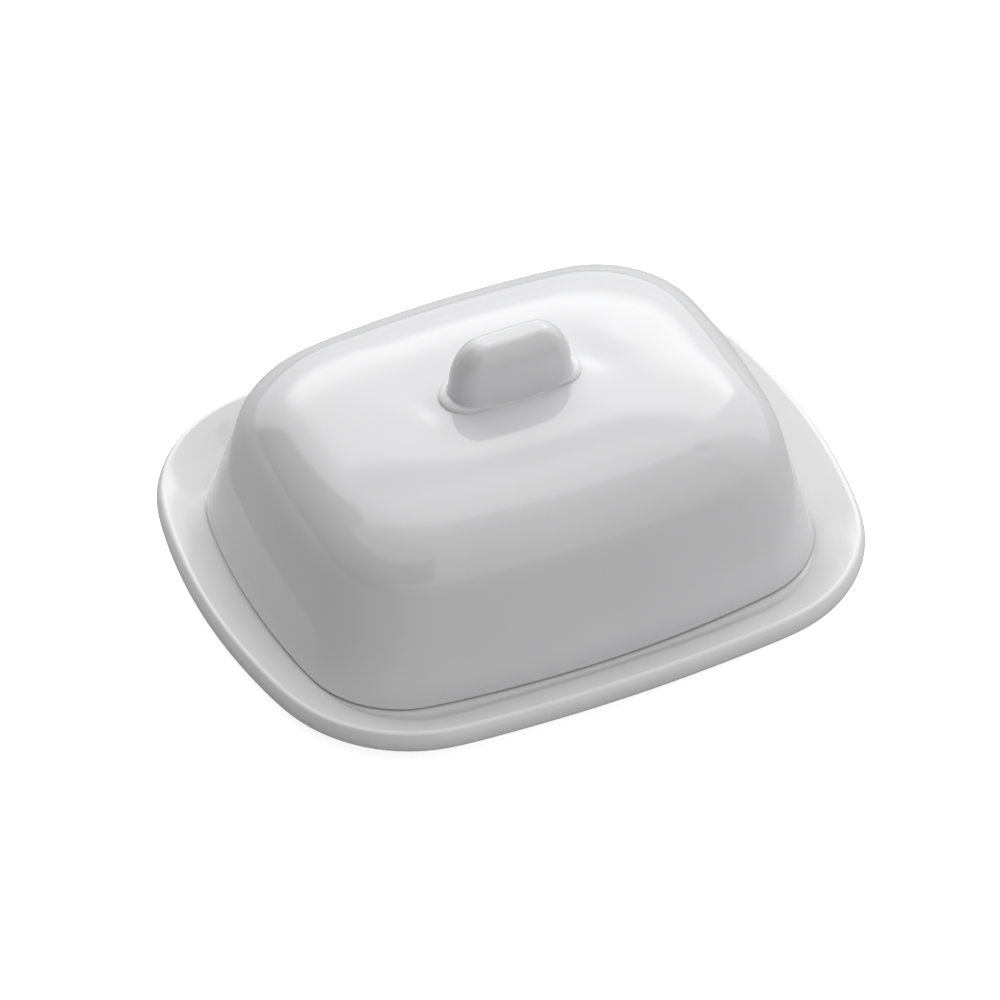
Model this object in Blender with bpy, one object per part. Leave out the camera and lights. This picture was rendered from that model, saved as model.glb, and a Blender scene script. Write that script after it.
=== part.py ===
"""Butter dish in glazed porcelain: a rimmed dish, and a domed lid with an oblong knob.

X runs along the dish, Y across it and Z up. The origin is on the table, under the dish's middle.
The lid's shell and its knob are two clay pieces stuck together with slip, so they lift as one.
"""
import math

import bmesh
import bpy

# Driving dimensions, in metres.
GAP = 0.0003                   # between pieces that touch

DISH_HALF = (0.0950, 0.0795)   # half length and half width over the rim
DISH_BOWS = (0.183, 0.495)     # radii of the bowed ends and of the bowed long sides
DISH_CORNER = 0.0455
RIM_RADIUS = 0.0044            # the rim's outer bulge
RIM_CENTRE_HEIGHT = 0.0105
RIM_UNDERSIDE_ANGLE = -72.0    # degrees round the bulge, where the underside starts
CREST_RADIUS = 0.0012          # the tighter turn along the top of the rim
CREST_INSET = 0.0021
LEDGE_SLOPES = (20.0, 28.5)    # degrees below level, where the rim's inner side starts and further in
LEDGE_BEND_WIDTH = 0.0050      # over which its slope steepens
FLOOR_HEIGHT = 0.0080
FLOOR_FILLET = 0.0030          # between the rim's inner side and the floor
FOOT_INSET = 0.0218            # from the rim's edge to the foot ring's outer edge
FOOT_WIDTH = 0.0044
BASE_RECESS = 0.0030           # height of the base inside the foot ring

LID_HALF = (0.0806, 0.0637)    # half length and half width at the lid's lower edge
LID_BOWS = (0.211, 0.319)
LID_CORNER = 0.0302
LID_DRAFT = 0.245              # inset per height on the walls
LID_WALL_HEIGHT = 0.0324       # straight part of the walls
SHOULDER_RADIUS = 0.0240
SHOULDER_END_ANGLE = 70.0      # degrees, the surface's lean where the crown begins
CROWN_RISE = 0.0036
CROWN_POWER = 4                # its fall towards the shoulder: flat in the middle, steepening outward
LID_THICKNESS = 0.0045
LID_EDGE_RADIUS = 0.0008       # on the lower edge, outside and inside

KNOB_HALF = (0.0187, 0.0080)   # where its walls meet the crown
KNOB_BOWS = (0.060, 0.200)
KNOB_CORNER = 0.0070
KNOB_DRAFTS = (0.100, 0.139)   # inset per height at the ends and on the sides
KNOB_HEIGHT = 0.0176           # above the middle of the crown
KNOB_TOP_REACH = (0.0082, 0.0038)   # how far the top's rounding reaches in, from the ends and the sides
KNOB_TOP_DROP = (0.0115, 0.0070)    # and how far down
KNOB_BELOW_CROWN = 0.0040      # how far the uncut knob reaches into the crown
BEAD_REACH = (0.0027, 0.0004)  # of the bead of slip round the knob's foot, at the ends and on the sides
BEAD_FOOT = 0.0005             # heights of the bead's upright edge and of its top
BEAD_HEIGHT = 0.0019

# Segments in each quarter of an outline: half an end, a corner, half a long side.
LARGE_OUTLINE_STEPS = (3, 7, 4)
KNOB_OUTLINE_STEPS = (2, 6, 2)

LID_SEAT_HEIGHT = FLOOR_HEIGHT + GAP

GLAZE_COLOUR = (0.86, 0.865, 0.86, 1.0)
GLAZE_ROUGHNESS = 0.08


def corner_centre(half, bows, corner):
    """Centre of the corner arc that touches both bowed sides from inside, in the first quarter."""
    end_x = half[0] - bows[0]
    side_y = half[1] - bows[1]
    end_reach = bows[0] - corner
    side_reach = bows[1] - corner
    distance = math.hypot(end_x, side_y)
    along = (end_reach ** 2 - side_reach ** 2 + distance ** 2) / (2.0 * distance)
    across = math.sqrt(end_reach ** 2 - along ** 2)
    ux = -end_x / distance
    uy = side_y / distance
    return (end_x + ux * along - uy * across, uy * along + ux * across)


def arc(centre, radius, start, end, steps):
    """Points of an arc, without its last one."""
    points = []
    for step in range(steps):
        angle = start + (end - start) * step / steps
        points.append((centre[0] + radius * math.cos(angle), centre[1] + radius * math.sin(angle)))
    return points


def oblong(half, bows, corner, steps):
    """Rounded oblong with bowed sides, counter-clockwise from +X."""
    cx, cy = corner_centre(half, bows, corner)
    end_x = half[0] - bows[0]
    side_y = half[1] - bows[1]
    first = math.atan2(cy, cx - end_x)
    second = math.atan2(cy - side_y, cx)
    quarter = arc((end_x, 0.0), bows[0], 0.0, first, steps[0])
    quarter += arc((cx, cy), corner, first, second, steps[1])
    quarter += arc((0.0, side_y), bows[1], second, math.pi / 2.0, steps[2])
    top = (0.0, half[1])
    half_ring = quarter + [top] + [(-x, y) for x, y in reversed(quarter)]
    return half_ring[:-1] + [(-x, -y) for x, y in half_ring[:-1]]


def at_height(outline, z):
    return [(x, y, z) for x, y in outline]


def loft(name, rings):
    """Closed solid through rings of equal length, flat at both ends."""
    bm = bmesh.new()
    loops = [[bm.verts.new(point) for point in ring] for ring in rings]
    for lower, upper in zip(loops, loops[1:]):
        count = len(lower)
        for i in range(count):
            j = (i + 1) % count
            bm.faces.new((lower[i], lower[j], upper[j], upper[i]))
    bm.faces.new(list(reversed(loops[0])))
    bm.faces.new(loops[-1])
    mesh = bpy.data.meshes.new(name)
    bm.to_mesh(mesh)
    bm.free()
    mesh.shade_smooth()
    mesh.set_sharp_from_angle(angle=math.radians(40.0))
    return bpy.data.objects.new(name, mesh)


def glaze(name, colour, roughness):
    material = bpy.data.materials.new(name)
    material.use_nodes = True
    shader = material.node_tree.nodes["Principled BSDF"]
    shader.inputs["Base Color"].default_value = colour
    shader.inputs["Roughness"].default_value = roughness
    shader.inputs["Metallic"].default_value = 0.0
    return material


# The dish: one section carried round the outline, from the middle of the base to the middle of the floor.

def dish_ring(inset, z):
    """The dish's outline moved inward by inset, at height z."""
    half = (DISH_HALF[0] - inset, DISH_HALF[1] - inset)
    bows = (DISH_BOWS[0] - inset, DISH_BOWS[1] - inset)
    return at_height(oblong(half, bows, DISH_CORNER - inset, LARGE_OUTLINE_STEPS), z)


def underside_section():
    """Insets and heights from the recessed base, round the foot ring and out to the rim."""
    foot_inner = FOOT_INSET + FOOT_WIDTH
    return [
        (foot_inner + 0.0045, BASE_RECESS),
        (foot_inner + 0.0022, BASE_RECESS - 0.0006),
        (foot_inner + 0.0007, 0.0007),
        (foot_inner, 0.0),
        (FOOT_INSET, 0.0),
        (FOOT_INSET - 0.0008, 0.0007),
        (FOOT_INSET - 0.0022, 0.0022),
        (FOOT_INSET - 0.0048, 0.0031),
        (0.0118, 0.0040),
        (0.0068, 0.0051),
    ]


def sweep(points, centre, radius, start, end, steps):
    """Adds an arc of insets and heights, after its first point. Angles in degrees: 0 is outward and 90 up."""
    for step in range(1, steps + 1):
        angle = math.radians(start + (end - start) * step / steps)
        points.append((centre[0] - radius * math.cos(angle), centre[1] + radius * math.sin(angle)))


def rim_section():
    """Insets and heights round the bulge and the crest, and down the inner side that steepens inward."""
    points = []
    bulge = (RIM_RADIUS, RIM_CENTRE_HEIGHT)
    turn = math.acos((RIM_RADIUS - CREST_INSET) / (RIM_RADIUS - CREST_RADIUS))
    sweep(points, bulge, RIM_RADIUS, RIM_UNDERSIDE_ANGLE, 0.0, 5)
    sweep(points, bulge, RIM_RADIUS, 0.0, math.degrees(turn), 3)
    crest = (CREST_INSET, RIM_CENTRE_HEIGHT + (RIM_RADIUS - CREST_RADIUS) * math.sin(turn))
    sweep(points, crest, CREST_RADIUS, math.degrees(turn), 90.0, 2)
    sweep(points, crest, CREST_RADIUS, 90.0, 90.0 + LEDGE_SLOPES[0], 1)
    start, end = (math.radians(slope) for slope in LEDGE_SLOPES)
    radius = LEDGE_BEND_WIDTH / (math.sin(end) - math.sin(start))
    centre = (points[-1][0] - radius * math.sin(start), points[-1][1] - radius * math.cos(start))
    sweep(points, centre, radius, 90.0 + LEDGE_SLOPES[0], 90.0 + LEDGE_SLOPES[1], 3)
    return points


def floor_section(ledge_end):
    """Insets and heights down the rim's straight inner side and through the fillet to the flat floor."""
    slope = math.radians(LEDGE_SLOPES[1])
    drop = ledge_end[1] - FLOOR_HEIGHT - FLOOR_FILLET * (1.0 - math.cos(slope))
    fillet_end = ledge_end[0] + drop / math.tan(slope) + FLOOR_FILLET * math.sin(slope)
    points = []
    steps = 4
    for step in range(steps + 1):
        angle = slope * (1.0 - step / steps)
        inset = fillet_end - FLOOR_FILLET * math.sin(angle)
        points.append((inset, FLOOR_HEIGHT + FLOOR_FILLET * (1.0 - math.cos(angle))))
    return points


def make_dish():
    rim = rim_section()
    section = underside_section() + rim + floor_section(rim[-1])
    return loft("dish", [dish_ring(inset, z) for inset, z in section])


# The lid's shell: an outer and an inner skin that meet round the flat lower edge.

def lid_section(thickness):
    """Insets and heights up the wall and the shoulder, on the skin that lies thickness inside the outer one."""
    lean = math.atan(LID_DRAFT)
    end = math.radians(SHOULDER_END_ANGLE)
    wall_inset = LID_DRAFT * LID_WALL_HEIGHT
    foot = thickness / math.cos(lean)
    points = [(foot, 0.0)]
    middle = LID_WALL_HEIGHT / 2.0
    points.append((foot + LID_DRAFT * middle, middle))
    steps = 8
    for step in range(steps + 1):
        angle = lean + (end - lean) * step / steps
        radius = SHOULDER_RADIUS - thickness
        inset = wall_inset + SHOULDER_RADIUS * math.cos(lean) - radius * math.cos(angle)
        height = LID_WALL_HEIGHT - SHOULDER_RADIUS * math.sin(lean) + radius * math.sin(angle)
        points.append((inset, height))
    return points


def lid_ring(inset, thickness, z):
    """The lid's outline at a given inset. The corners keep their radius as the walls lean in."""
    half = (LID_HALF[0] - inset, LID_HALF[1] - inset)
    bows = (LID_BOWS[0] - thickness, LID_BOWS[1] - thickness)
    return at_height(oblong(half, bows, LID_CORNER - thickness, LARGE_OUTLINE_STEPS), z)


def crown_rings(edge):
    """Rings from the shoulder's edge over the low crown to its middle."""
    rings = []
    for scale in (0.93, 0.85, 0.76, 0.65, 0.50, 0.30, 0.10):
        rise = CROWN_RISE * (1.0 - scale ** CROWN_POWER)
        rings.append([(x * scale, y * scale, z + rise) for x, y, z in edge])
    return rings


def skin_rings(thickness):
    """Rings of one skin, from the lid's lower edge to the middle of its crown."""
    rings = [lid_ring(inset, thickness, height) for inset, height in lid_section(thickness)]
    return rings + crown_rings(rings[-1])


def lid_height():
    shoulder_top = lid_section(0.0)[-1][1]
    return shoulder_top + CROWN_RISE


def rounded_edge_rings(thickness, side):
    """Rings that round one side of the lid's lower edge. side is +1 outside and -1 inside."""
    foot = lid_section(thickness)[0][0]
    radius = LID_EDGE_RADIUS
    flat = lid_ring(foot + side * radius, thickness, 0.0)
    bend = lid_ring(foot + side * radius * 0.3, thickness, radius * 0.3)
    upright = lid_ring(foot + LID_DRAFT * radius, thickness, radius)
    return [flat, bend, upright]


def make_lid_shell():
    inner = rounded_edge_rings(LID_THICKNESS, -1.0) + skin_rings(LID_THICKNESS)[1:]
    outer = rounded_edge_rings(0.0, 1.0) + skin_rings(0.0)[1:]
    return loft("lid_shell", list(reversed(inner)) + outer)


# The knob: an oblong with leaning sides and a softly rounded top, on a bead of slip that fits the crown.

def knob_half(level, axis):
    """Half the knob's length or width at a level, with the top rounded over."""
    drop = KNOB_TOP_DROP[axis]
    climb = min(max((level - KNOB_HEIGHT + drop) / drop, 0.0), 1.0)
    rounding = KNOB_TOP_REACH[axis] * (1.0 - math.sqrt(1.0 - climb ** 2))
    return KNOB_HALF[axis] - KNOB_DRAFTS[axis] * level - rounding


def knob_ring(level, z, spread=0.0):
    """The knob's outline at a level, at height z. A spread of 1 is the outer edge of the bead."""
    half = [knob_half(level, axis) + spread * BEAD_REACH[axis] for axis in (0, 1)]
    corner = min(KNOB_CORNER + spread * BEAD_REACH[0] / 2.0, half[1] * 0.93)
    return at_height(oblong(half, KNOB_BOWS, corner, KNOB_OUTLINE_STEPS), z)


def make_knob_blank():
    """The knob before its foot is fitted to the crown; z = 0 is the middle of the crown."""
    rings = [knob_ring(0.0, -KNOB_BELOW_CROWN, 1.0)]
    bead_steps = 3
    for step in range(bead_steps + 1):
        angle = math.pi / 2.0 * step / bead_steps
        z = BEAD_FOOT + (BEAD_HEIGHT - BEAD_FOOT) * math.sin(angle)
        rings.append(knob_ring(0.0, z, math.cos(angle)))
    drop = max(KNOB_TOP_DROP)
    top_steps = 10
    for step in range(top_steps + 1):
        angle = math.radians(84.0) * step / top_steps
        level = KNOB_HEIGHT - drop * (1.0 - math.sin(angle))
        rings.append(knob_ring(level, level))
    return loft("lid_knob", rings)


def fit_to_crown(knob, crown_cutter):
    cut = knob.modifiers.new("fit_to_crown", "BOOLEAN")
    cut.operation = "DIFFERENCE"
    cut.solver = "EXACT"
    cut.object = crown_cutter


def build():
    for old in list(bpy.data.objects):
        bpy.data.objects.remove(old, do_unlink=True)

    pieces = bpy.data.collections.new("butter_dish")
    cutters = bpy.data.collections.new("cutters")
    bpy.context.scene.collection.children.link(pieces)
    bpy.context.scene.collection.children.link(cutters)

    dish = make_dish()
    lid_shell = make_lid_shell()
    lid_knob = make_knob_blank()
    for piece in (dish, lid_shell, lid_knob):
        pieces.objects.link(piece)
        piece.data.materials.append(glaze(piece.name + "_glaze", GLAZE_COLOUR, GLAZE_ROUGHNESS))

    # The lid lifts along Z, so its pieces hang on an empty that stands on that line.
    lid = bpy.data.objects.new("lid_lift_line", None)
    pieces.objects.link(lid)
    lid.location = (0.0, 0.0, LID_SEAT_HEIGHT)
    lid_shell.parent = lid
    lid_knob.parent = lid
    lid_knob.location = (0.0, 0.0, lid_height())

    crown_cutter = loft("crown_cutter", skin_rings(0.0))
    cutters.objects.link(crown_cutter)
    crown_cutter.parent = lid
    crown_cutter.location = (0.0, 0.0, GAP)
    crown_cutter.hide_render = True
    crown_cutter.display_type = "WIRE"
    fit_to_crown(lid_knob, crown_cutter)


build()
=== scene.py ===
import math

import bpy
import numpy as np
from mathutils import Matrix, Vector, noise


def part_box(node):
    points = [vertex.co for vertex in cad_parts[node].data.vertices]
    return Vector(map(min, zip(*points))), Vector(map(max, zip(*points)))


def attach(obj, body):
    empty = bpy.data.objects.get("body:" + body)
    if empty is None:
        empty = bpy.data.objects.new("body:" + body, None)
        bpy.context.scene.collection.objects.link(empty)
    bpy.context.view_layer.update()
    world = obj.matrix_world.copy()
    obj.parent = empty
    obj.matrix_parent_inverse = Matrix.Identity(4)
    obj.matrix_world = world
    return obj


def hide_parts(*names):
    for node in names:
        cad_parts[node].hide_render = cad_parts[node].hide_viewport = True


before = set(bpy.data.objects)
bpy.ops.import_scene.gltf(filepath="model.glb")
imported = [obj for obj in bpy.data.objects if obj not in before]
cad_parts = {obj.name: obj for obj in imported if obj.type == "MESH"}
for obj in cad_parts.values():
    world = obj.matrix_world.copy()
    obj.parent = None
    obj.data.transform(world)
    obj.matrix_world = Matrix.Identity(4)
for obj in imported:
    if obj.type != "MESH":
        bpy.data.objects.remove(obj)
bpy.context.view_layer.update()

# --------------------------------------------------------------------------------------------------------
# Sizes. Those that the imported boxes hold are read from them, the others repeat the part's driving dimensions.
# --------------------------------------------------------------------------------------------------------
DISH_LOW, DISH_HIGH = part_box("dish")
LID_LOW, LID_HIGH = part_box("lid_shell")
KNOB_LOW, KNOB_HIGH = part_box("lid_knob")

DISH_HALF = (DISH_HIGH.x, DISH_HIGH.y)
DISH_BOWS = (0.183, 0.495)
DISH_CORNER = 0.0455
RIM_RADIUS = 0.0044                 # the rim's outer bulge
RIM_CENTRE_HEIGHT = 0.0105
RIM_UNDERSIDE_ANGLE = -72.0
CREST_RADIUS = 0.0012               # the tighter turn along the top of the rim
CREST_INSET = 0.0021
LEDGE_SLOPES = (20.0, 28.5)         # degrees below level, at the start of the rim's inner side and further in
LEDGE_BEND_WIDTH = 0.0050           # over which that slope steepens
FLOOR_HEIGHT = 0.0080
FLOOR_FILLET = 0.0030               # between the rim's inner side and the floor
FOOT_INSET = 0.0218
FOOT_WIDTH = 0.0044
BASE_RECESS = 0.0030

LID_SEAT = LID_LOW.z
LID_HALF = (0.0806, 0.0637)
LID_BOWS = (0.211, 0.319)
LID_CORNER = 0.0302
LID_DRAFT = 0.245
LID_WALL_HEIGHT = 0.0324
SHOULDER_RADIUS = 0.0240
SHOULDER_END_ANGLE = 70.0
CROWN_RISE = 0.0036
CROWN_POWER = 4                     # its fall towards the shoulder: flat in the middle, steepening outward
SAG_DEPTH = 0.0006                  # how far the crown gave way under the knob
SAG_REACH = (0.032, 0.021)
LID_THICKNESS = 0.0045
LID_EDGE_RADIUS = 0.0008

KNOB_HALF = (0.0187, 0.0080)        # where its walls meet the crown
KNOB_BOWS = (0.060, 0.200)
KNOB_CORNER = 0.0070
KNOB_DRAFTS = (0.100, 0.139)
KNOB_TOP_REACH = (0.0082, 0.0038)   # how far the rounding of the top reaches in, from the ends and the sides
KNOB_TOP_DROP = (0.0115, 0.0070)    # and how far down
BEAD_REACH = (0.0027, 0.0002)       # of the slip round the knob's foot, at the ends and on the sides
BEAD_HEIGHT = 0.0016

# x, y, reach along x, reach along y, and sink (down is positive) of each dip beside the knob's foot.
CROWN_DIPS = (
    (-0.0250, -0.0005, 0.0036, 0.0060, 0.00040),
    (0.0262, 0.0010, 0.0042, 0.0065, 0.00042),
    (-0.0330, 0.0020, 0.0050, 0.0060, -0.00018),
    (0.0345, 0.0030, 0.0060, 0.0060, -0.00018),
)
DIPS_BELOW_TOP = 0.006              # the dips stay this near to the shell's highest point

# The hand-finished unevenness of each piece: its size, its height and its seed.
DISH_WAVINESS = (0.045, 0.00012, 1)
LID_WAVINESS = (0.040, 0.00016, 2)
KNOB_WAVINESS = (0.014, 0.00010, 3)
FLAT_FOOT_HEIGHT = 0.002            # the dish's unevenness fades out below this

VIEW_AZIMUTH = -0.4435              # of the camera, in radians from the front towards +X
VIEW_ELEVATION = 0.7416             # and above the table
VIEW_DISTANCE = 2.0
VIEW_TARGET = (-0.0043, -0.0026, 0.02)
LENS_PER_SENSOR = 7.0875            # focal length over the sensor's width

# The studio's soft lights, as they lie round the dish. For each: the bearing of its middle, from straight
# behind the dish towards the right of the view, its half width and the blurs of its left and right sides, its
# lower edge and that edge's blur, its upper edge and that edge's blur, all in degrees, and its brightness.
SOFTBOXES = {
    "back_low": (1.5, 33.5, 9.0, 2.5, 4.0, 2.0, 17.0, 0.8, 1.13),
    "back_1": (1.5, 33.5, 9.0, 2.5, 17.0, 0.8, 26.0, 4.0, 1.42),
    "back_2": (1.5, 33.5, 9.0, 2.5, 26.0, 4.0, 37.0, 4.0, 3.45),
    "back_3": (1.5, 33.5, 9.0, 2.5, 37.0, 4.0, 50.0, 3.0, 2.25),
    "back_4": (1.5, 33.5, 9.0, 2.5, 50.0, 3.0, 60.0, 4.0, 0.85),
    "overhead_back": (0.0, 90.0, 2.0, 2.0, 60.0, 4.0, 100.0, 1.0, 1.42),
    "overhead_front": (180.0, 90.0, 2.0, 2.0, 46.0, 0.8, 100.0, 1.0, 0.73),
    "left_back": (-46.0, 14.0, 2.5, 9.0, 0.0, 2.0, 60.0, 4.0, 1.12),
    "right_back": (50.0, 15.0, 2.5, 2.5, 0.0, 2.0, 60.0, 4.0, 1.06),
    "left": (-85.0, 25.0, 3.0, 3.0, 0.0, 2.0, 38.0, 6.0, 0.03),
    "right": (87.0, 22.0, 3.0, 3.0, 0.0, 2.0, 52.0, 8.0, 0.40),
    "front_right": (135.0, 25.0, 3.0, 3.0, 0.0, 2.0, 46.0, 0.8, 0.90),
    "front_low": (180.0, 20.0, 3.0, 3.0, 0.0, 2.0, 15.0, 0.8, 0.58),
    "front": (180.0, 20.0, 3.0, 3.0, 15.0, 0.8, 46.0, 0.8, 0.02),
}
AMBIENT = 0.02

# The glaze of the cool white lid and knob, and of the neutral white dish: its body, and where it clouds.
LID_COLOURS = ((0.790, 0.791, 0.803, 1.0), (0.769, 0.770, 0.783, 1.0))
DISH_COLOURS = ((0.836, 0.835, 0.837, 1.0), (0.816, 0.815, 0.817, 1.0))
POOLED_COLOUR = (0.748, 0.749, 0.756, 1.0)
# Painted highlight: the whiter colour laid on convex edges, such as the rim's crest and the knob's edges and
# bead, where light glints.
EDGE_HIGHLIGHT_COLOUR = (0.900, 0.900, 0.904, 1.0)
GLAZE_IOR = 1.58
FOOT_GROUND_TO = 0.0006             # height below which the dish's foot ring is bare
LID_EDGE_GROUND = 0.0003            # height above the lid's seat below which its edge is bare
LARGE_HIGHLIGHT_AND_POOL_REACH = 0.003           # bend radius at which the painted highlight on edges is full, or the glaze fully pooled
KNOB_HIGHLIGHT_AND_POOL_REACH = 0.002
FLOOR_COLOUR = (0.93, 0.93, 0.93, 1.0)
FLOOR_HALF = 4.0
FLOOR_TOP = -0.0001                 # a hair below the foot ring, so that the two never share a plane
FLOOR_RETURN = 0.55                 # how much light the floor throws back on to the dish
FLOOR_GLOW = 0.80                   # what is added to how the floor itself shows

# Segments in each quarter of an outline: half an end, a corner, half a long side.
OUTLINE_STEPS = (24, 34, 20)
KNOB_OUTLINE_STEPS = (8, 22, 12)
WALL_RINGS = 24                     # up the lid's straight wall
STRAIGHT_WALL_RINGS = 12            # of those, the lower ones that no easing touches


# --------------------------------------------------------------------------------------------------------
# Mesh tools
# --------------------------------------------------------------------------------------------------------

def corner_centre(half, bows, corner):
    """Centre of the corner arc that touches both bowed sides from inside, in the first quarter."""
    end_x = half[0] - bows[0]
    side_y = half[1] - bows[1]
    end_reach = bows[0] - corner
    side_reach = bows[1] - corner
    distance = math.hypot(end_x, side_y)
    along = (end_reach ** 2 - side_reach ** 2 + distance ** 2) / (2.0 * distance)
    across = math.sqrt(end_reach ** 2 - along ** 2)
    ux = -end_x / distance
    uy = side_y / distance
    return end_x + ux * along - uy * across, uy * along + ux * across


def arc(centre, radius, start, end, steps):
    """Points of an arc, without its last one."""
    angles = start + (end - start) * np.arange(steps) / steps
    return np.column_stack([centre[0] + radius * np.cos(angles), centre[1] + radius * np.sin(angles)])


def oblong(half, bows, corner, steps):
    """Rounded oblong with bowed sides as an array of points, counter-clockwise from +X."""
    cx, cy = corner_centre(half, bows, corner)
    end_x = half[0] - bows[0]
    side_y = half[1] - bows[1]
    first = math.atan2(cy, cx - end_x)
    second = math.atan2(cy - side_y, cx)
    quarter = np.vstack([
        arc((end_x, 0.0), bows[0], 0.0, first, steps[0]),
        arc((cx, cy), corner, first, second, steps[1]),
        arc((0.0, side_y), bows[1], second, math.pi / 2.0, steps[2]),
    ])
    mirrored = quarter[::-1] * (-1.0, 1.0)
    upper = np.vstack([quarter, [(0.0, half[1])], mirrored])[:-1]
    return np.vstack([upper, -upper])


def ring(outline, z):
    """An outline lifted to a height, or to one height for each of its points."""
    return np.column_stack([outline, np.broadcast_to(z, len(outline))])


def blur(rings, axis, passes):
    """Repeated binomial blur along one axis of an array of rings; round each ring it wraps."""
    blurred = np.array(rings)
    for _ in range(passes):
        if axis == 1:
            blurred = np.roll(blurred, 1, axis=1) * 0.25 + blurred * 0.5 + np.roll(blurred, -1, axis=1) * 0.25
        else:
            inner = blurred[:-2] * 0.25 + blurred[1:-1] * 0.5 + blurred[2:] * 0.25
            blurred[1:-1] = inner
    return blurred


def ease(rings, axis, passes):
    """Softens changes of curvature without drawing the shape in: what a blur removes is blurred and added."""
    blurred = blur(rings, axis, passes)
    return blurred + blur(rings - blurred, axis, passes)


def skin(name, rings):
    """Closed smooth mesh through an array of rings, with a flat cap at both ends."""
    count_rings, count = len(rings), len(rings[0])
    vertices = np.array(rings).reshape(-1, 3)
    faces = []
    for r in range(count_rings - 1):
        here, above = r * count, (r + 1) * count
        for i in range(count):
            j = (i + 1) % count
            faces.append((here + i, here + j, above + j, above + i))
    faces.append(tuple(range(count - 1, -1, -1)))
    last = (count_rings - 1) * count
    faces.append(tuple(range(last, last + count)))
    mesh = bpy.data.meshes.new(name)
    mesh.from_pydata(vertices.tolist(), [], faces)
    mesh.update()
    mesh.shade_smooth()
    piece = bpy.data.objects.new(name, mesh)
    bpy.context.scene.collection.objects.link(piece)
    return piece


def vertex_array(mesh, kind="co"):
    values = np.empty(len(mesh.vertices) * 3)
    if kind == "co":
        mesh.vertices.foreach_get("co", values)
    else:
        mesh.vertex_normals.foreach_get("vector", values)
    return values.reshape(-1, 3)


def push_along_normals(piece, distances):
    mesh = piece.data
    points = vertex_array(mesh) + vertex_array(mesh, "normal") * np.asarray(distances)[:, None]
    mesh.vertices.foreach_set("co", points.ravel())
    mesh.update()


def waviness(piece, size, height, seed):
    """The slight hand-finished unevenness of a cast wall, as one distance for each vertex."""
    shift = Vector((seed * 7.31, seed * 3.17, seed * 5.53))
    points = vertex_array(piece.data) / size
    return [height * noise.noise(Vector(point) + shift) for point in points]


def store_edge_highlight_and_pooling(piece, reach):
    """Stores how each vertex bends: -1 on convex edges, which the glaze paints with a whiter highlight, +1 in
    hollows, where the glaze pools.
    """
    mesh = piece.data
    points = vertex_array(mesh)
    normals = vertex_array(mesh, "normal")
    edges = np.empty(len(mesh.edges) * 2, dtype=int)
    mesh.edges.foreach_get("vertices", edges)
    first, second = edges.reshape(-1, 2).T
    lengths = np.linalg.norm(points[second] - points[first], axis=1) ** 2 + 1e-12
    bend = np.zeros(len(points))
    count = np.zeros(len(points))
    for a, b in ((first, second), (second, first)):
        rise = np.einsum("ij,ij->i", points[b] - points[a], normals[a]) / lengths
        np.add.at(bend, a, rise)
        np.add.at(count, a, 1.0)
    depth = np.clip(2.0 * bend / count * reach, -1.0, 1.0)
    for _ in range(4):
        total = depth.copy()
        weight = np.ones(len(points))
        for a, b in ((first, second), (second, first)):
            np.add.at(total, a, depth[b])
            np.add.at(weight, a, 1.0)
        depth = total / weight
    attribute = mesh.attributes.new("edge_highlight_and_pooling", "FLOAT", "POINT")
    attribute.data.foreach_set("value", depth.astype(np.float32))


# --------------------------------------------------------------------------------------------------------
# The dish
# --------------------------------------------------------------------------------------------------------

def dish_ring(inset, z):
    half = (DISH_HALF[0] - inset, DISH_HALF[1] - inset)
    bows = (DISH_BOWS[0] - inset, DISH_BOWS[1] - inset)
    return ring(oblong(half, bows, DISH_CORNER - inset, OUTLINE_STEPS), z)


def refine(points, spacing):
    """Adds points along a section so that none are further apart than spacing."""
    fine = [points[0]]
    for start, end in zip(points, points[1:]):
        steps = max(1, math.ceil(math.dist(start, end) / spacing))
        for step in range(1, steps + 1):
            share = step / steps
            fine.append((start[0] + (end[0] - start[0]) * share, start[1] + (end[1] - start[1]) * share))
    return fine


def sweep(points, centre, radius, start, end, steps):
    """Adds an arc to a section of insets and heights. Angles in degrees: 0 points outward and 90 up."""
    for angle in np.radians(np.linspace(start, end, steps)):
        points.append((centre[0] - radius * math.cos(angle), centre[1] + radius * math.sin(angle)))


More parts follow.
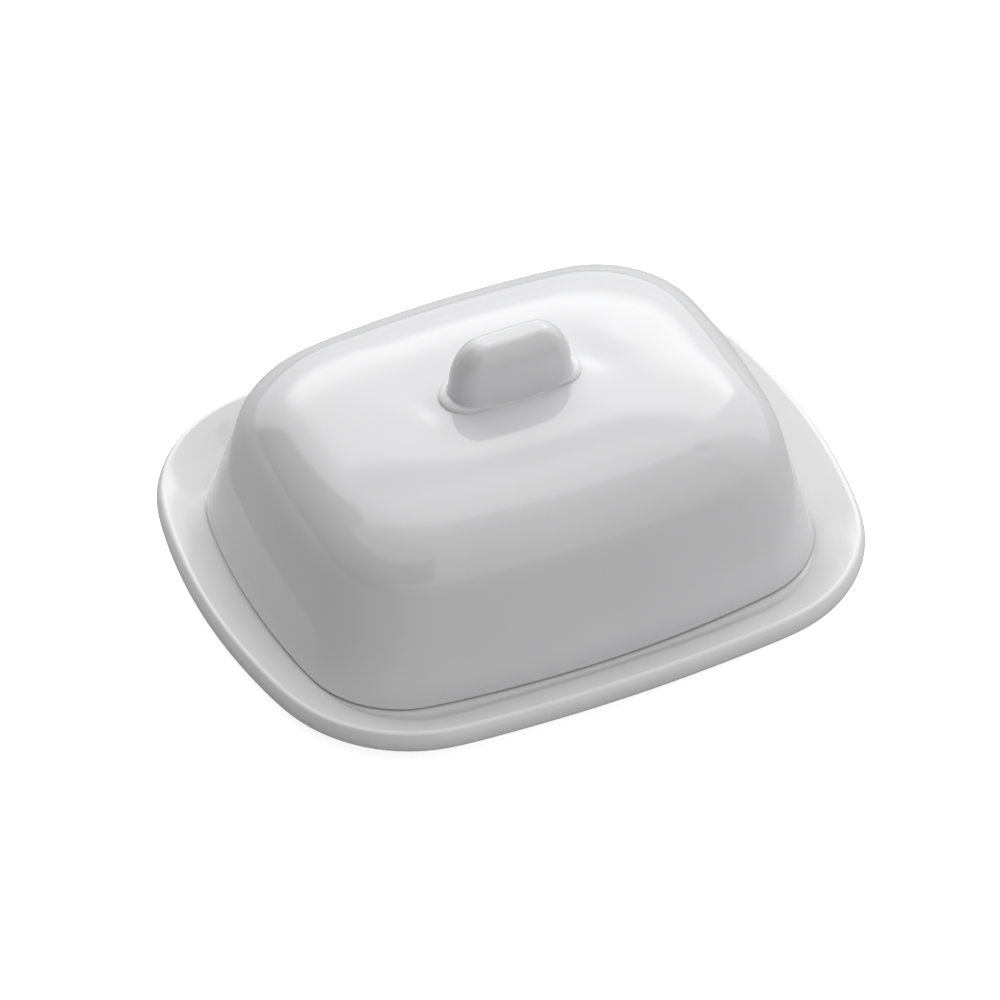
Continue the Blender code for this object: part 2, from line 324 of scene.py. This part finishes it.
def dish_section():
    """Insets and heights from the recessed base, round the foot ring and the rim, and down to the floor."""
    foot_inner = FOOT_INSET + FOOT_WIDTH
    underside = [
        (foot_inner + 0.0060, BASE_RECESS),
        (foot_inner + 0.0045, BASE_RECESS),
        (foot_inner + 0.0022, BASE_RECESS - 0.0006),
        (foot_inner + 0.0007, 0.0007),
        (foot_inner, 0.0),
        (FOOT_INSET, 0.0),
        (FOOT_INSET - 0.0008, 0.0007),
        (FOOT_INSET - 0.0022, 0.0022),
        (FOOT_INSET - 0.0048, 0.0031),
        (0.0118, 0.0040),
        (0.0068, 0.0051),
    ]
    rim = []
    bulge = (RIM_RADIUS, RIM_CENTRE_HEIGHT)
    turn = math.degrees(math.acos((RIM_RADIUS - CREST_INSET) / (RIM_RADIUS - CREST_RADIUS)))
    sweep(rim, bulge, RIM_RADIUS, RIM_UNDERSIDE_ANGLE, turn, 34)
    crest_height = RIM_CENTRE_HEIGHT + (RIM_RADIUS - CREST_RADIUS) * math.sin(math.radians(turn))
    sweep(rim, (CREST_INSET, crest_height), CREST_RADIUS, turn, 90.0 + LEDGE_SLOPES[0], 12)
    start, end = np.radians(LEDGE_SLOPES)
    radius = LEDGE_BEND_WIDTH / (math.sin(end) - math.sin(start))
    centre = rim[-1][0] - radius * math.sin(start), rim[-1][1] - radius * math.cos(start)
    sweep(rim, centre, radius, 90.0 + LEDGE_SLOPES[0], 90.0 + LEDGE_SLOPES[1], 12)
    drop = rim[-1][1] - FLOOR_HEIGHT - FLOOR_FILLET * (1.0 - math.cos(end))
    fillet_end = rim[-1][0] + drop / math.tan(end) + FLOOR_FILLET * math.sin(end)
    fillet = []
    for angle in np.linspace(end, 0.0, 12):
        inset = fillet_end - FLOOR_FILLET * math.sin(angle)
        fillet.append((inset, FLOOR_HEIGHT + FLOOR_FILLET * (1.0 - math.cos(angle))))
    floor = [fillet[-1], (fillet_end + 0.006, FLOOR_HEIGHT)]
    return refine(underside, 0.0007) + refine(rim + fillet, 0.0003) + refine(floor, 0.001)[1:]


def make_dish():
    section = dish_section()
    rings = np.array([dish_ring(inset, z) for inset, z in section])
    rings = ease(ease(rings, 0, 3), 1, 24)
    dish = skin("dish_body", rings)
    above_foot = np.clip(vertex_array(dish.data)[:, 2] / FLAT_FOOT_HEIGHT, 0.0, 1.0)
    push_along_normals(dish, above_foot * waviness(dish, *DISH_WAVINESS))
    return dish


# --------------------------------------------------------------------------------------------------------
# The lid's shell
# --------------------------------------------------------------------------------------------------------

def lid_section(thickness):
    """Insets and heights above the lid's edge, up the wall and round the shoulder."""
    lean = math.atan(LID_DRAFT)
    wall_inset = LID_DRAFT * LID_WALL_HEIGHT
    foot = thickness / math.cos(lean)
    heights = np.linspace(LID_EDGE_RADIUS, LID_WALL_HEIGHT, WALL_RINGS)[:-1]
    points = [(foot + LID_DRAFT * height, height) for height in heights]
    for angle in np.linspace(lean, math.radians(SHOULDER_END_ANGLE), 40):
        radius = SHOULDER_RADIUS - thickness
        inset = wall_inset + SHOULDER_RADIUS * math.cos(lean) - radius * math.cos(angle)
        points.append((inset, LID_WALL_HEIGHT - SHOULDER_RADIUS * math.sin(lean) + radius * math.sin(angle)))
    return points


def lid_ring(inset, thickness, height):
    half = (LID_HALF[0] - inset, LID_HALF[1] - inset)
    bows = (LID_BOWS[0] - thickness, LID_BOWS[1] - thickness)
    outline = oblong(half, bows, LID_CORNER - thickness, OUTLINE_STEPS)
    return ring(outline, LID_SEAT + height)


def edge_rings(thickness, side):
    """Rings that round one side of the lid's flat lower edge. side is +1 outside and -1 inside."""
    foot = thickness / math.cos(math.atan(LID_DRAFT))
    rings = []
    for angle in np.linspace(0.0, math.pi / 2.0, 6)[:-1]:
        inset = foot + side * LID_EDGE_RADIUS * (1.0 - math.sin(angle))
        rings.append(lid_ring(inset, thickness, LID_EDGE_RADIUS * (1.0 - math.cos(angle))))
    return rings


def skin_rings(thickness, side):
    """Rings of one skin of the lid, from its lower edge to the middle of the crown."""
    wall = [lid_ring(inset, thickness, height) for inset, height in lid_section(thickness)]
    edge = wall[-1]
    crown = []
    for scale in np.linspace(1.0, 0.012, 44)[1:]:
        rise = CROWN_RISE * (1.0 - scale ** CROWN_POWER)
        crown.append(edge * (scale, scale, 1.0) + (0.0, 0.0, rise))
    start = edge_rings(thickness, side)
    rings = np.array(start + wall + crown)
    eased = len(start) + STRAIGHT_WALL_RINGS
    rings[eased:] = ease(rings[eased:], 0, 60)
    return ease(rings, 1, 24)


def crown_sag(x, y):
    """How far the crown gave way under the knob while its clay was soft."""
    return SAG_DEPTH * np.exp(-(x / SAG_REACH[0]) ** 2 - (y / SAG_REACH[1]) ** 2)


def crown_dips(points):
    """Sinks of the crown's surface under the knob, and where the slip was wiped round the knob's two ends."""
    depth = crown_sag(points[:, 0], points[:, 1])
    top = points[:, 2] > LID_HIGH.z - DIPS_BELOW_TOP
    for x, y, reach_x, reach_y, sink in CROWN_DIPS:
        away = ((points[:, 0] - x) / reach_x) ** 2 + ((points[:, 1] - y) / reach_y) ** 2
        depth += sink * np.exp(-away)
    return np.where(top, depth, 0.0)


def make_lid():
    outer = skin_rings(0.0, 1.0)
    inner = skin_rings(LID_THICKNESS, -1.0)
    lid = skin("lid_body", np.vstack([inner[::-1], outer]))
    count = len(outer[0])
    points = vertex_array(lid.data)
    outside = np.arange(len(points)) >= len(inner) * count
    sink = np.where(outside, crown_dips(points), 0.0)
    push_along_normals(lid, np.array(waviness(lid, *LID_WAVINESS)) - sink)
    return lid


def crown_height(x, y):
    """Height of the crown's outer surface near its middle."""
    end = lid_section(0.0)[-1]
    half_x = LID_HALF[0] - end[0]
    half_y = LID_HALF[1] - end[0]
    top = LID_SEAT + end[1] + CROWN_RISE
    share = np.hypot(x / half_x, y / half_y)
    return top - CROWN_RISE * share ** CROWN_POWER - crown_sag(x, y)


# --------------------------------------------------------------------------------------------------------
# The knob
# --------------------------------------------------------------------------------------------------------

def knob_half(level, height, axis):
    """Half the knob's length or width at a level, with the top rounded over more softly at the ends."""
    drop = KNOB_TOP_DROP[axis]
    climb = min(max((level - height + drop) / drop, 0.0), 1.0)
    rounding = KNOB_TOP_REACH[axis] * (1.0 - math.sqrt(1.0 - climb ** 2))
    return KNOB_HALF[axis] - KNOB_DRAFTS[axis] * level - rounding


def knob_outline(level, height, spread=0.0):
    half = [knob_half(level, height, axis) + spread * BEAD_REACH[axis] for axis in (0, 1)]
    corner = min(KNOB_CORNER + spread * BEAD_REACH[0] * 0.5, half[1] * 0.93)
    return oblong(half, KNOB_BOWS, corner, KNOB_OUTLINE_STEPS)


def bead_rings(height):
    """Rings over the bead of slip, from under the crown's surface to the crease at the knob's wall."""
    wide = knob_outline(0.0, height, 1.0)
    narrow = knob_outline(0.0, height)
    share = (np.linalg.norm(wide - narrow, axis=1) / BEAD_REACH[0]) ** 1.5
    rings = []
    for sink in (0.0012, 0.0006):
        rings.append(ring(wide, crown_height(wide[:, 0], wide[:, 1]) - sink))
    for angle in np.linspace(0.0, math.pi / 2.0, 12):
        outline = narrow + (wide - narrow) * math.cos(angle)
        rise = BEAD_HEIGHT * share * math.sin(angle) ** 0.8
        rings.append(ring(outline, crown_height(outline[:, 0], outline[:, 1]) + rise))
    return rings


def make_knob():
    crown = crown_height(0.0, 0.0) + SAG_DEPTH
    height = KNOB_HIGH.z - crown
    rings = bead_rings(height)
    crease = rings[-1]
    wall_start = len(rings)
    drop = max(KNOB_TOP_DROP)
    for level in np.linspace(0.0, height - drop, 10)[1:]:
        share = level / (height - drop)
        outline = knob_outline(level, height)
        rings.append(ring(outline, crease[:, 2] * (1.0 - share) + (crown + level) * share))
    for angle in np.linspace(0.0, math.pi / 2.0, 44)[1:]:
        level = height - drop * (1.0 - math.sin(angle))
        rings.append(ring(knob_outline(level, height), crown + level))
    edge = rings[-1]
    for scale in (0.8, 0.6, 0.4, 0.2, 0.05):
        rings.append(edge * (scale, scale, 1.0))
    rings = np.array(rings)
    rings[wall_start:] = ease(rings[wall_start:], 0, 6)
    rings = ease(rings, 1, 8)
    knob = skin("knob_body", rings)
    push_along_normals(knob, waviness(knob, *KNOB_WAVINESS))
    return knob


# --------------------------------------------------------------------------------------------------------
# Materials
# --------------------------------------------------------------------------------------------------------

class Nodes:
    """Short hand for building the node tree of a material or of the world."""

    def __init__(self, owner):
        owner.use_nodes = True
        self.tree = owner.node_tree
        self.shader = self.tree.nodes.get("Principled BSDF")

    def add(self, kind, inputs=None, **settings):
        node = self.tree.nodes.new(kind)
        for key, value in settings.items():
            setattr(node, key, value)
        for key, value in (inputs or {}).items():
            self.put(node.inputs[key], value)
        return node

    def put(self, socket, value):
        if isinstance(value, bpy.types.NodeSocket):
            self.tree.links.new(value, socket)
        else:
            socket.default_value = value

    def set(self, **values):
        for key, value in values.items():
            self.put(self.shader.inputs[key.replace("_", " ")], value)

    def math(self, operation, *values):
        node = self.add("ShaderNodeMath", operation=operation)
        for index, value in enumerate(values):
            self.put(node.inputs[index], value)
        return node.outputs[0]

    def edge(self, value, start, end):
        """Rises softly from 0 at start to 1 at end; start may be the larger."""
        inputs = {"Value": value, "From Min": start, "From Max": end}
        return self.add("ShaderNodeMapRange", inputs, interpolation_type="SMOOTHSTEP").outputs["Result"]

    def noise(self, scale, detail, roughness=0.5):
        place = self.add("ShaderNodeTexCoord").outputs["Object"]
        inputs = {"Vector": place, "Scale": scale, "Detail": detail, "Roughness": roughness}
        return self.add("ShaderNodeTexNoise", inputs).outputs["Fac"]

    def spread(self, value, low, high, to_low, to_high):
        inputs = {"Value": value, "From Min": low, "From Max": high, "To Min": to_low, "To Max": to_high}
        return self.add("ShaderNodeMapRange", inputs).outputs["Result"]

    def mix(self, share, first, second):
        node = self.add("ShaderNodeMix", data_type="RGBA")
        self.put(node.inputs[0], share)
        self.put(node.inputs[6], first)
        self.put(node.inputs[7], second)
        return node.outputs[2]

    def bump(self, height, distance, strength, under=None):
        inputs = {"Height": height, "Distance": distance, "Strength": strength}
        if under is not None:
            inputs["Normal"] = under
        return self.add("ShaderNodeBump", inputs).outputs["Normal"]


def glaze_material(name, body, clouded):
    """Clear glossy glaze over white porcelain: convex edges painted whiter as a highlight, and deeper where the
    glaze pools.
    """
    material = bpy.data.materials.new(name)
    m = Nodes(material)
    depth = m.add("ShaderNodeAttribute", attribute_name="edge_highlight_and_pooling").outputs["Fac"]
    plain = m.mix(m.spread(m.noise(22.0, 3.0), 0.35, 0.65, 0.0, 1.0), body, clouded)
    pooled = m.mix(m.spread(depth, 0.05, 0.7, 0.0, 1.0), plain, POOLED_COLOUR)
    # Painted highlight: convex edges are made whiter.
    colour = m.mix(m.spread(depth, -0.20, -0.8, 0.0, 1.0), pooled, EDGE_HIGHLIGHT_COLOUR)
    waves = m.bump(m.noise(150.0, 2.0), 0.000012, 0.25)
    normal = m.bump(m.noise(900.0, 1.0), 0.000002, 0.15, waves)
    m.set(Base_Color=colour, Roughness=m.spread(m.noise(60.0, 2.0), 0.3, 0.7, 0.008, 0.022), Normal=normal)
    m.set(IOR=GLAZE_IOR, Metallic=0.0)
    return material


def biscuit_material(name):
    """Bare fired porcelain, ground flat: matte and faintly grainy."""
    material = bpy.data.materials.new(name)
    m = Nodes(material)
    grain = m.noise(2600.0, 3.0, 0.65)
    patches = m.noise(120.0, 3.0)
    colour = m.mix(m.spread(patches, 0.3, 0.7, 0.0, 1.0), (0.74, 0.72, 0.68, 1.0), (0.66, 0.64, 0.60, 1.0))
    colour = m.mix(m.spread(grain, 0.35, 0.75, 0.0, 0.45), colour, (0.55, 0.53, 0.49, 1.0))
    m.set(Base_Color=colour, Roughness=m.spread(grain, 0.3, 0.7, 0.70, 0.92))
    m.set(Normal=m.bump(grain, 0.00012, 0.5))
    m.set(IOR=1.45, Metallic=0.0)
    return material


def finish_piece(piece, glaze, biscuit=None, ground_to=0.0):
    """Gives a piece its glaze, and bare biscuit on the faces that lie below the height it is ground to."""
    piece.data.materials.append(glaze)
    if biscuit is None:
        return
    piece.data.materials.append(biscuit)
    for face in piece.data.polygons:
        if face.center.z < ground_to:
            face.material_index = 1


# --------------------------------------------------------------------------------------------------------
# The studio
# --------------------------------------------------------------------------------------------------------

def look_at(thing, place, target):
    thing.location = place
    direction = Vector(target) - Vector(place)
    thing.rotation_euler = direction.to_track_quat("-Z", "Y").to_euler()


def seen_or_lit(m, output, seen, lit):
    """Joins two shaders: seen is what the camera looks at, lit is what lights and mirrors in the glaze."""
    path = m.add("ShaderNodeLightPath").outputs["Is Camera Ray"]
    mixed = m.add("ShaderNodeMixShader", {0: path, 1: lit, 2: seen}).outputs[0]
    m.put(output.inputs["Surface"], mixed)


def add_floor():
    """A wide white sheet, which shows almost white and throws back a softer light than it shows."""
    mesh = bpy.data.meshes.new("studio_floor")
    half = FLOOR_HALF
    z = FLOOR_TOP
    corners = [(-half, -half, z), (half, -half, z), (half, half, z), (-half, half, z)]
    mesh.from_pydata(corners, [], [(0, 1, 2, 3)])
    floor = bpy.data.objects.new("studio_floor", mesh)
    bpy.context.scene.collection.objects.link(floor)
    material = bpy.data.materials.new("pale_floor")
    mesh.materials.append(material)
    m = Nodes(material)
    sheet = m.add("ShaderNodeBsdfDiffuse", {"Color": FLOOR_COLOUR}).outputs[0]
    glow = m.add("ShaderNodeEmission", {"Strength": FLOOR_GLOW}).outputs[0]
    seen = m.add("ShaderNodeAddShader", {0: sheet, 1: glow}).outputs[0]
    dim = (FLOOR_RETURN, FLOOR_RETURN, FLOOR_RETURN, 1.0)
    lit = m.add("ShaderNodeBsdfDiffuse", {"Color": dim}).outputs[0]
    seen_or_lit(m, m.tree.nodes["Material Output"], seen, lit)


def softbox(m, bearing, elevation, place):
    """Brightness of one soft-edged light at a bearing and an elevation, in degrees."""
    centre, half, left_blur, right_blur, low, low_blur, high, high_blur, brightness = place
    away = m.math("WRAP", m.math("SUBTRACT", bearing, centre), 180.0, -180.0)
    left = m.edge(away, -half - left_blur, -half + left_blur)
    right = m.edge(away, half + right_blur, half - right_blur)
    sides = m.math("MULTIPLY", left, right)
    lower = m.edge(elevation, low - low_blur, low + low_blur)
    upper = m.edge(elevation, high + high_blur, high - high_blur)
    shape = m.math("MULTIPLY", sides, m.math("MULTIPLY", lower, upper))
    return m.math("MULTIPLY", shape, brightness)


def add_world():
    """The studio round the dish: soft lights on all sides, brightest behind it, and dim at the front left."""
    world = bpy.data.worlds.new("studio")
    bpy.context.scene.world = world
    m = Nodes(world)
    place = m.add("ShaderNodeTexCoord").outputs["Generated"]
    turn = {"Vector": place, "Angle": -VIEW_AZIMUTH}
    turned = m.add("ShaderNodeVectorRotate", turn, rotation_type="Z_AXIS")
    parts = m.add("ShaderNodeSeparateXYZ", {0: turned.outputs[0]}).outputs
    bearing = m.math("DEGREES", m.math("ARCTAN2", parts[0], parts[1]))
    elevation = m.math("DEGREES", m.math("ARCSINE", parts[2]))
    total = AMBIENT
    for light in SOFTBOXES.values():
        total = m.math("ADD", softbox(m, bearing, elevation, light), total)
    lit = m.tree.nodes["Background"]
    m.put(lit.inputs["Strength"], total)
    m.put(lit.inputs["Color"], (1.0, 1.0, 1.0, 1.0))
    seen = m.add("ShaderNodeBackground", {"Color": (1.0, 1.0, 1.0, 1.0), "Strength": 1.0}).outputs[0]
    seen_or_lit(m, m.tree.nodes["World Output"], seen, lit.outputs[0])


def add_camera():
    """Looks from the front left, 42 degrees above the table, through a long lens."""
    target = Vector(VIEW_TARGET)
    back = Vector((
        math.sin(VIEW_AZIMUTH) * math.cos(VIEW_ELEVATION),
        -math.cos(VIEW_AZIMUTH) * math.cos(VIEW_ELEVATION),
        math.sin(VIEW_ELEVATION),
    ))
    data = bpy.data.cameras.new("camera")
    data.lens = LENS_PER_SENSOR * data.sensor_width
    data.clip_end = 20.0
    camera = bpy.data.objects.new("camera", data)
    bpy.context.scene.collection.objects.link(camera)
    look_at(camera, target + back * VIEW_DISTANCE, target)
    bpy.context.scene.camera = camera


def add_studio():
    add_floor()
    add_camera()
    add_world()
    bpy.context.scene.view_settings.view_transform = "Standard"


# --------------------------------------------------------------------------------------------------------
# Putting it together
# --------------------------------------------------------------------------------------------------------

biscuit = biscuit_material("bare_biscuit")

dish = make_dish()
finish_piece(dish, glaze_material("dish_glaze", *DISH_COLOURS), biscuit, FOOT_GROUND_TO)
store_edge_highlight_and_pooling(dish, LARGE_HIGHLIGHT_AND_POOL_REACH)
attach(dish, "dish")
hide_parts("dish")

lid = make_lid()
finish_piece(lid, glaze_material("lid_glaze", *LID_COLOURS), biscuit, LID_SEAT + LID_EDGE_GROUND)
store_edge_highlight_and_pooling(lid, LARGE_HIGHLIGHT_AND_POOL_REACH)
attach(lid, "lid")
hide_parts("lid_shell")

knob = make_knob()
finish_piece(knob, glaze_material("knob_glaze", *LID_COLOURS))
store_edge_highlight_and_pooling(knob, KNOB_HIGHLIGHT_AND_POOL_REACH)
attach(knob, "lid")
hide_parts("lid_knob")

add_studio()
